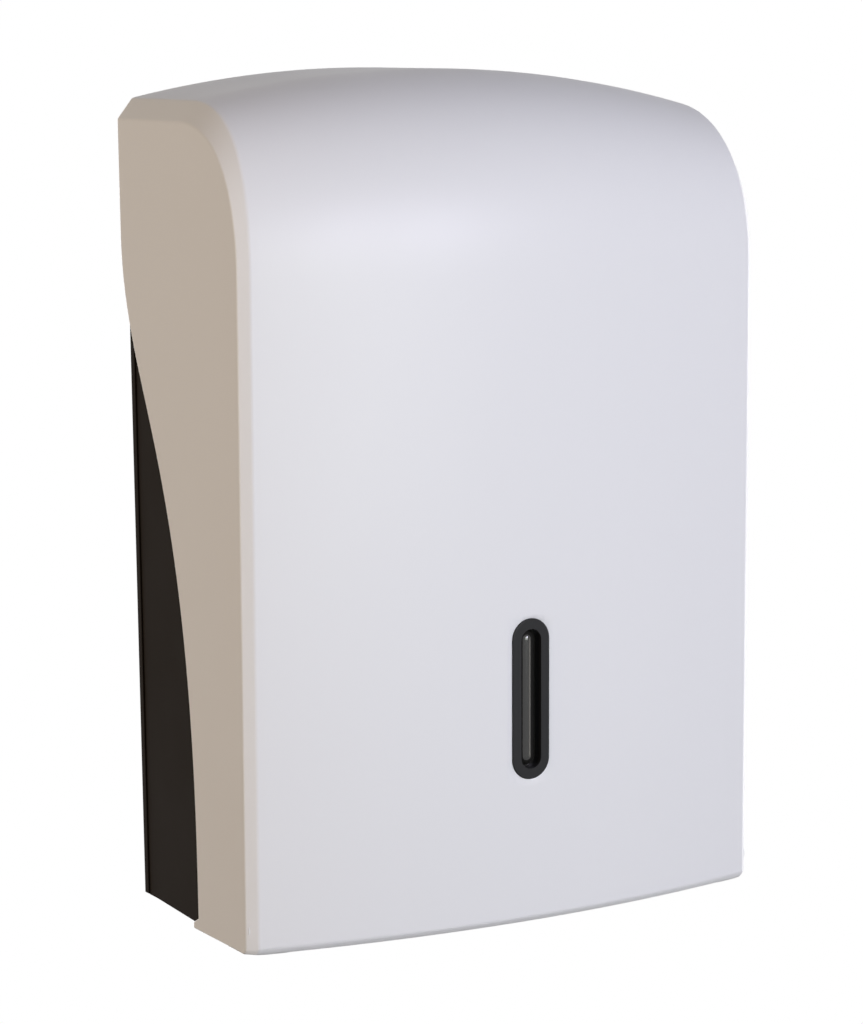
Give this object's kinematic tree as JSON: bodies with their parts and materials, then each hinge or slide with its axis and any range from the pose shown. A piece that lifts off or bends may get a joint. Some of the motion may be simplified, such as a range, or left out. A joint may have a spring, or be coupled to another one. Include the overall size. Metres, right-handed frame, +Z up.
{
  "type": "folded paper towel dispenser",
  "caption": "Wall-mounted dispenser for folded paper towels: bowed drop-down cover with a level window, dark rear tray, underside throat and a quarter-turn lock in the crown.",
  "frame": {"origin": "centre of the four wall screw holes, on the wall plane", "axes": "+Z up, +Y into the wall, so the front faces -Y, and +X to the right seen from the front"},
  "size_m": [0.285, 0.1535, 0.4164],
  "materials": {
    "cover_white": "satin moulded ABS, white with a faint cool tint",
    "tray_dark": "finely textured moulded ABS, near black",
    "throat_dark": "smooth moulded ABS, dark grey",
    "guide_grey": "moulded ABS, mid grey",
    "bezel_dark": "semi-gloss moulded ABS, charcoal",
    "lens_smoke": "clear smoked polycarbonate",
    "bush_nylon": "natural nylon",
    "steel_zinc": "bright zinc plated steel",
    "lock_chrome": "chrome plated zinc",
    "buffer_rubber": "matt black rubber"
  },
  "bodies": {
    "base": {"tray": "tray_dark", "tray_wall_right": "tray_dark", "tray_wall_left": "tray_dark", "throat_plate": "throat_dark", "throat_screws": "steel_zinc", "towel_guide_right": "guide_grey", "towel_guide_left": "guide_grey", "guide_screws": "steel_zinc", "keeper_plate": "steel_zinc", "keeper_screws": "steel_zinc", "cover_buffers": "buffer_rubber", "hinge_bush_right": "bush_nylon", "hinge_bush_left": "bush_nylon"},
    "cover": {"front_cover": "cover_white", "window_bezel": "bezel_dark", "window_lens": "lens_smoke", "window_retainer": "bezel_dark", "window_screws": "steel_zinc", "hinge_pin_right": "steel_zinc", "hinge_pin_left": "steel_zinc", "lock_barrel": "lock_chrome", "lock_washer": "steel_zinc", "lock_nut": "steel_zinc"},
    "lock": {"lock_plug": "lock_chrome", "lock_cam": "steel_zinc", "cam_washer": "steel_zinc", "cam_screw": "steel_zinc"}
  },
  "joints": [
    {"name": "cover_hinge", "type": "hinge", "parent": "base", "child": "cover", "pos_m": [0, -0.121, -0.193], "axis": [1, 0, 0], "range_deg": [0, 100]},
    {"name": "lock_turn", "type": "hinge", "parent": "cover", "child": "lock", "pos_m": [0, -0.026, 0.19], "axis": [0, 0, -1], "range_deg": [0, 90]}
  ]
}
